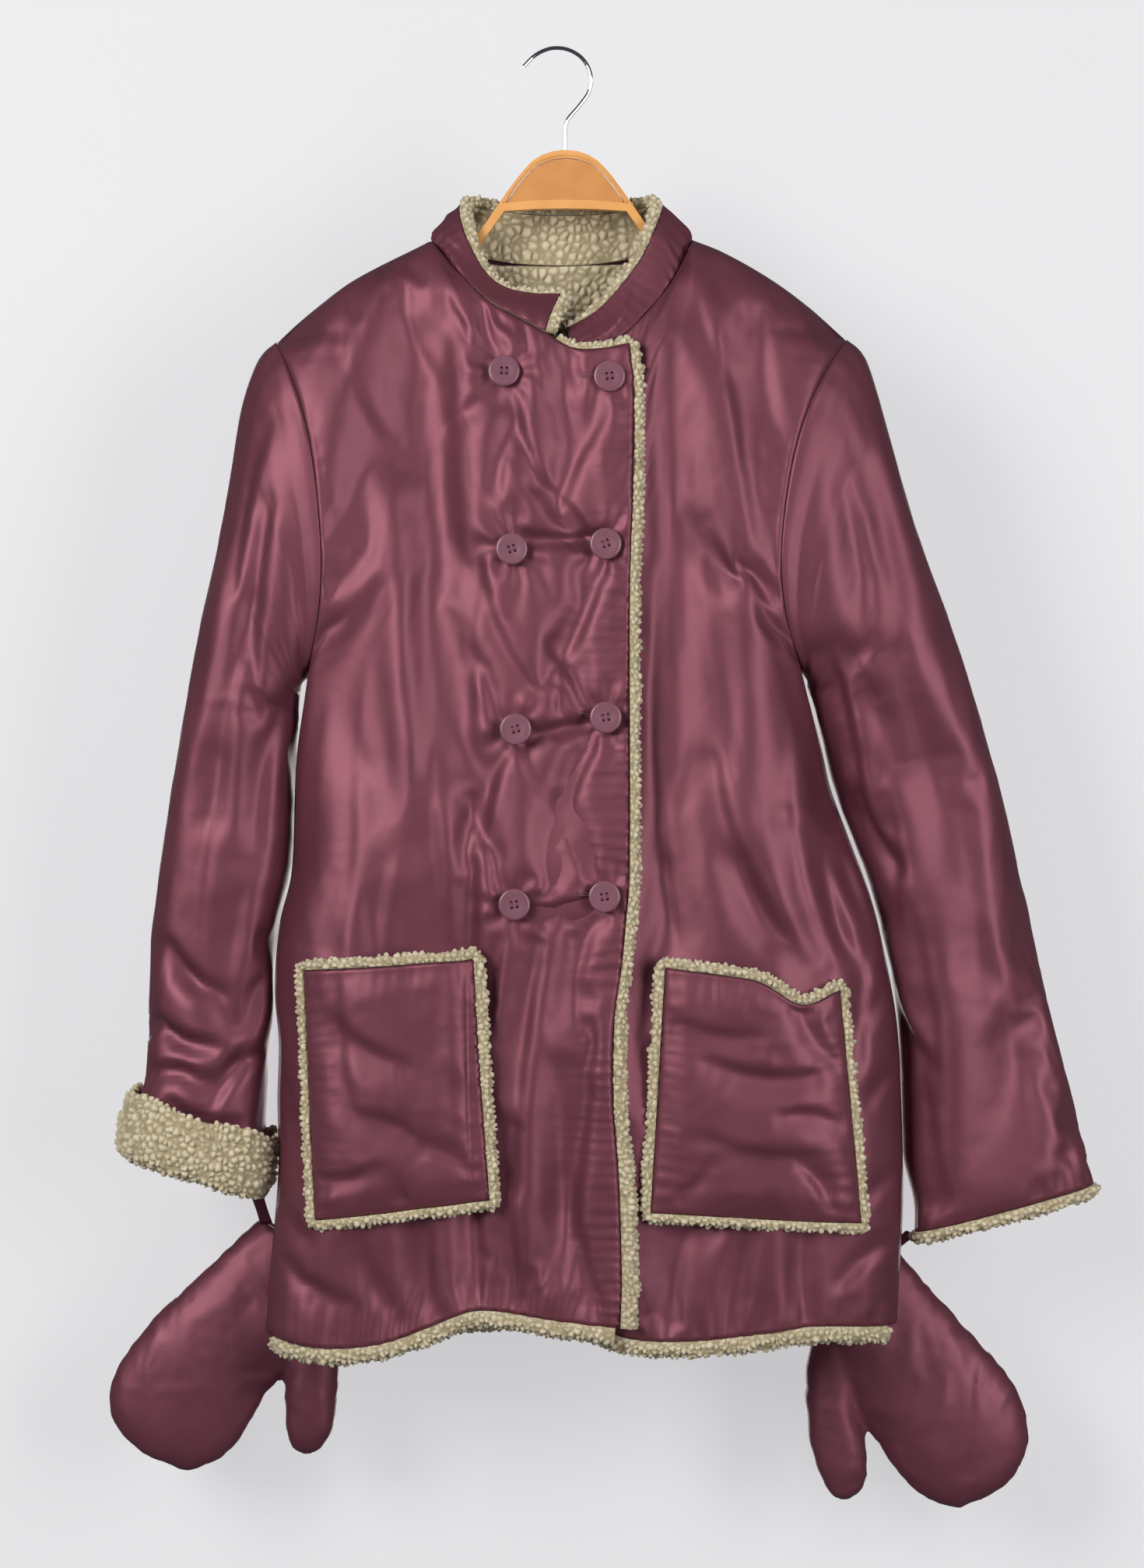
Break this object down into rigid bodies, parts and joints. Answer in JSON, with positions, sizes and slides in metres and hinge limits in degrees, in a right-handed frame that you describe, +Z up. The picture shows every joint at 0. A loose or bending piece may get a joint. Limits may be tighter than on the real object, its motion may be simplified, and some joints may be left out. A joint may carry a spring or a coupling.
{
  "type": "puffer jacket on a hanger",
  "caption": "Padded coat-jacket with pile lining and edges, stand collar, double-breasted buttons, patch pockets and mittens hanging from the cuffs, on a moulded hanger with a wire hook.",
  "frame": {"origin": "under the crown of the hanger's hook, where a rail carries it", "axes": "+Z up along the jacket's length, +X to the viewer's right across its width (the wearer's left), +Y to its back, so the front faces -Y"},
  "size_m": [0.7823, 0.1539, 1.1569],
  "materials": {
    "nylon_shell": "satin woven nylon over wadding",
    "pile": "curled pile",
    "buttons": "moulded, semi-gloss",
    "hanger_frame": "moulded, satin",
    "hanger_panel": "moulded, satin",
    "hook_wire": "polished wire"
  },
  "bodies": {
    "root": {"front_right": "nylon_shell", "front_left": "nylon_shell", "back": "nylon_shell", "sleeve_right": "nylon_shell", "sleeve_left": "nylon_shell", "placket_edge": "pile", "hem_edge_front_right": "pile", "hem_edge_front_left": "pile", "hem_edge_back": "pile", "collar": "nylon_shell", "collar_lining": "pile", "collar_edge": "pile", "neck_lining": "pile", "cuff_turnback_right": "pile", "cuff_edge_left": "pile", "pocket_right": "nylon_shell", "pocket_edge_right": "pile", "pocket_left": "nylon_shell", "pocket_edge_left": "pile", "button_1": "buttons", "button_2": "buttons", "button_3": "buttons", "button_4": "buttons", "button_5": "buttons", "button_6": "buttons", "button_7": "buttons", "button_8": "buttons", "mitten_right": "nylon_shell", "mitten_left": "nylon_shell", "mitten_strap_right": "nylon_shell", "mitten_strap_left": "nylon_shell", "hanger_body": "hanger_frame", "hanger_panel": "hanger_panel", "hanger_hook": "hook_wire"}
  },
  "joints": []
}
